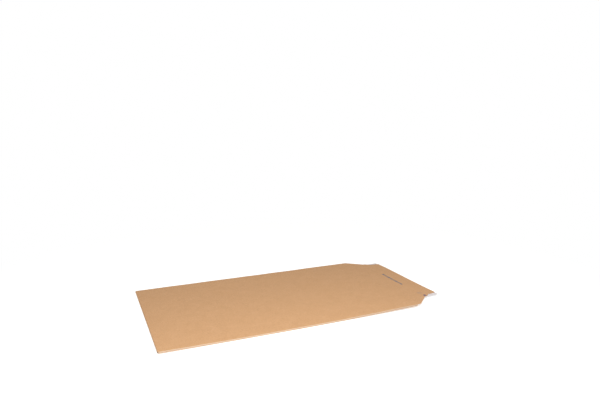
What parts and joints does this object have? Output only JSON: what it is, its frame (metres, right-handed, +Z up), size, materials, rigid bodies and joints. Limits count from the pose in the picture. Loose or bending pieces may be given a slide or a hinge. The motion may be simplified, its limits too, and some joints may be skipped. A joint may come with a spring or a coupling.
{
  "type": "flat-folded gusseted paper mailing bag",
  "caption": "Kraft paper mailing bag folded flat, with side gussets, a glued bottom fold and an open peel-and-seal flap with a release liner.",
  "frame": {"origin": "middle of the flat bag's outline, flap included, on the ground under its back panel", "axes": "+X along the bag from the closed bottom to the flap, +Y across the bag, +Z up out of the front panel"},
  "size_m": [0.454, 0.25, 0.0026],
  "materials": {
    "kraft_paper": "matte, machine-finished brown kraft with fine fibres",
    "adhesive": "translucent tacky film, satin",
    "release_paper": "smooth silicone-coated, slight sheen"
  },
  "bodies": {
    "root": {"paper_bag": "kraft_paper", "adhesive_strip": "adhesive", "release_liner": "release_paper"}
  },
  "joints": []
}
